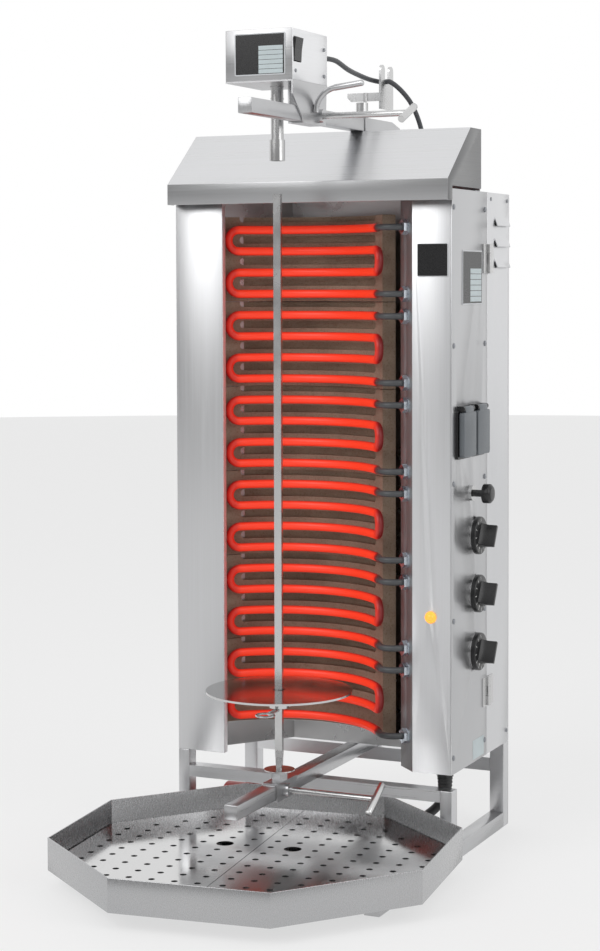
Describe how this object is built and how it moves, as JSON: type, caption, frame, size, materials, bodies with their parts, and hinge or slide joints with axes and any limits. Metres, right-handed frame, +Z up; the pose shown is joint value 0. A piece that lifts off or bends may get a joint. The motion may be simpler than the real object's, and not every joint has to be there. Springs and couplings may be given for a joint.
{
  "type": "electric skewer grill",
  "caption": "Vertical electric skewer grill: steel cabinet with a heated brick recess, motor-driven spit on adjustable arms, swing-out control panel and octagonal drip tray.",
  "frame": {"origin": "on the table, in the middle of the outline of the grill with its tray, without the mains cable", "axes": "+X to the control panel (right of someone in front of the spit), +Y to the back, +Z up"},
  "size_m": [0.4932, 0.6336, 1.046],
  "materials": {
    "brushed_stainless": "brushed",
    "polished_stainless": "polished",
    "fire_brick": "matt",
    "glowing_element": "glowing",
    "zinc": "zinc plated",
    "amber_lens": "gloss",
    "black_plate": "gloss",
    "dark_steel": "satin",
    "black_plastic": "satin",
    "grey_plastic": "satin",
    "ivory_plastic": "matt",
    "label_metal": "satin",
    "cable_rubber": "matt",
    "red_plastic": "satin"
  },
  "bodies": {
    "cabinet": {"base_rails": "brushed_stainless", "stand_posts": "brushed_stainless", "cross_rails": "brushed_stainless", "lower_arm": "brushed_stainless", "left_casing": "brushed_stainless", "right_wing": "brushed_stainless", "recess_sheet": "brushed_stainless", "body_top": "brushed_stainless", "body_bottom": "brushed_stainless", "rear_housing": "brushed_stainless", "hood": "brushed_stainless", "heat_bricks": "fire_brick", "heating_element_1": "glowing_element", "heating_element_2": "glowing_element", "heating_element_3": "glowing_element", "heating_element_4": "glowing_element", "heating_element_5": "glowing_element", "heating_element_6": "glowing_element", "terminal_nuts": "zinc", "lamp": "amber_lens", "wing_plate": "black_plate", "hinge_fixed": "polished_stainless", "upper_arm": "brushed_stainless", "arm_bracket": "brushed_stainless", "arm_pin": "dark_steel", "cable_fork": "brushed_stainless", "cable_glands": "black_plastic", "motor_cable_rear": "cable_rubber", "mains_cable": "cable_rubber", "cable_coil": "cable_rubber", "mains_plug": "red_plastic"},
    "panel": {"control_panel": "brushed_stainless", "hinge_moving": "polished_stainless", "panel_screws": "dark_steel", "sockets": "black_plastic", "panel_bezels": "polished_stainless", "rotary_switches": "ivory_plastic", "rating_plate": "label_metal"},
    "socket_lid_front": {"socket_lid_front": "grey_plastic"},
    "socket_lid_rear": {"socket_lid_rear": "grey_plastic"},
    "knob_1": {"knob_1": "black_plastic"},
    "knob_2": {"knob_2": "black_plastic"},
    "knob_3": {"knob_3": "black_plastic"},
    "push_knob": {"push_knob": "black_plastic"},
    "carriage": {"motor_bracket": "brushed_stainless", "motor_cover": "brushed_stainless", "gear_motor": "dark_steel", "motor_cable_front": "cable_rubber"},
    "rocker_switch": {"rocker_switch": "black_plastic"},
    "upper_clamp": {"upper_clamp": "polished_stainless"},
    "drive": {"drive_shaft": "brushed_stainless"},
    "spit": {"spit": "brushed_stainless", "deflector_disc": "brushed_stainless"},
    "meat_disc": {"meat_disc": "brushed_stainless"},
    "retaining_pin": {"retaining_pin": "polished_stainless"},
    "saddle": {"lower_saddle": "brushed_stainless"},
    "lower_clamp": {"lower_clamp": "polished_stainless"},
    "tray": {"drip_tray": "polished_stainless"},
    "tray_plate_left": {"tray_plate_left": "polished_stainless"},
    "tray_plate_right": {"tray_plate_right": "polished_stainless"}
  },
  "joints": [
    {"name": "panel_swing", "type": "hinge", "parent": "cabinet", "child": "panel", "pos_m": [0.198, 0.22779, 0.485], "axis": [0, 0, 1], "range_deg": [0, 100]},
    {"name": "front_lid", "type": "hinge", "parent": "panel", "child": "socket_lid_front", "pos_m": [0.202, 0.13329, 0.578], "axis": [0, -1, 0], "range_deg": [0, 100], "stiffness_Nm_per_rad": 0.02, "springref_deg": -17.19},
    {"name": "rear_lid", "type": "hinge", "parent": "panel", "child": "socket_lid_rear", "pos_m": [0.202, 0.18529, 0.578], "axis": [0, -1, 0], "range_deg": [0, 100], "stiffness_Nm_per_rad": 0.02, "springref_deg": -17.19},
    {"name": "knob_1_turn", "type": "hinge", "parent": "panel", "child": "knob_1", "pos_m": [0.21, 0.1818, 0.4104], "axis": [-1, 0, 0], "range_deg": [0, 270]},
    {"name": "knob_2_turn", "type": "hinge", "parent": "panel", "child": "knob_2", "pos_m": [0.21, 0.1818, 0.3347], "axis": [-1, 0, 0], "range_deg": [0, 270]},
    {"name": "knob_3_turn", "type": "hinge", "parent": "panel", "child": "knob_3", "pos_m": [0.21, 0.1818, 0.259], "axis": [-1, 0, 0], "range_deg": [0, 270]},
    {"name": "push_knob_travel", "type": "slide", "parent": "panel", "child": "push_knob", "axis": [-1, 0, 0], "range_m": [0, 0.008]},
    {"name": "carriage_slide", "type": "slide", "parent": "cabinet", "child": "carriage", "axis": [0, -1, 0], "range_m": [-0.05, 0.09], "deforming": ["motor_cable_front"]},
    {"name": "saddle_slide", "type": "slide", "parent": "cabinet", "child": "saddle", "axis": [0, -1, 0], "range_m": [-0.05, 0.09]},
    {"name": "rocker_tilt", "type": "hinge", "parent": "carriage", "child": "rocker_switch", "pos_m": [0.048, -0.05121, 1.021], "axis": [0, 1, 0], "range_deg": [0, 12]},
    {"name": "upper_clamp_turn", "type": "hinge", "parent": "carriage", "child": "upper_clamp", "pos_m": [0.06, 0.0148, 0.945], "axis": [1, 0, 0], "range_deg": [-180, 180]},
    {"name": "spit_spin", "type": "hinge", "parent": "carriage", "child": "drive", "pos_m": [0, -0.0032, 0.95], "axis": [0, 0, 1], "continuous": true},
    {"name": "spit_lift", "type": "slide", "parent": "drive", "child": "spit", "axis": [0, 0, 1], "range_m": [0, 0.015]},
    {"name": "meat_disc_slide", "type": "slide", "parent": "spit", "child": "meat_disc", "axis": [0, 0, 1], "range_m": [0, 0.25]},
    {"name": "retaining_pin_pull", "type": "slide", "parent": "spit", "child": "retaining_pin", "axis": [0, -1, 0], "range_m": [0, 0.045]},
    {"name": "lower_clamp_turn", "type": "hinge", "parent": "saddle", "child": "lower_clamp", "pos_m": [0.06, -0.01021, 0.102], "axis": [1, 0, 0], "range_deg": [-180, 180]},
    {"name": "tray_slide", "type": "slide", "parent": "cabinet", "child": "tray", "axis": [0, -1, 0], "range_m": [0, 0.2]},
    {"name": "left_plate_lift", "type": "slide", "parent": "tray", "child": "tray_plate_left", "axis": [0, 0, 1], "range_m": [0, 0.04]},
    {"name": "right_plate_lift", "type": "slide", "parent": "tray", "child": "tray_plate_right", "axis": [0, 0, 1], "range_m": [0, 0.04]}
  ],
  "couplings": [
    {"joint": "saddle_slide", "follows": "carriage_slide", "ratio": 1}
  ]
}
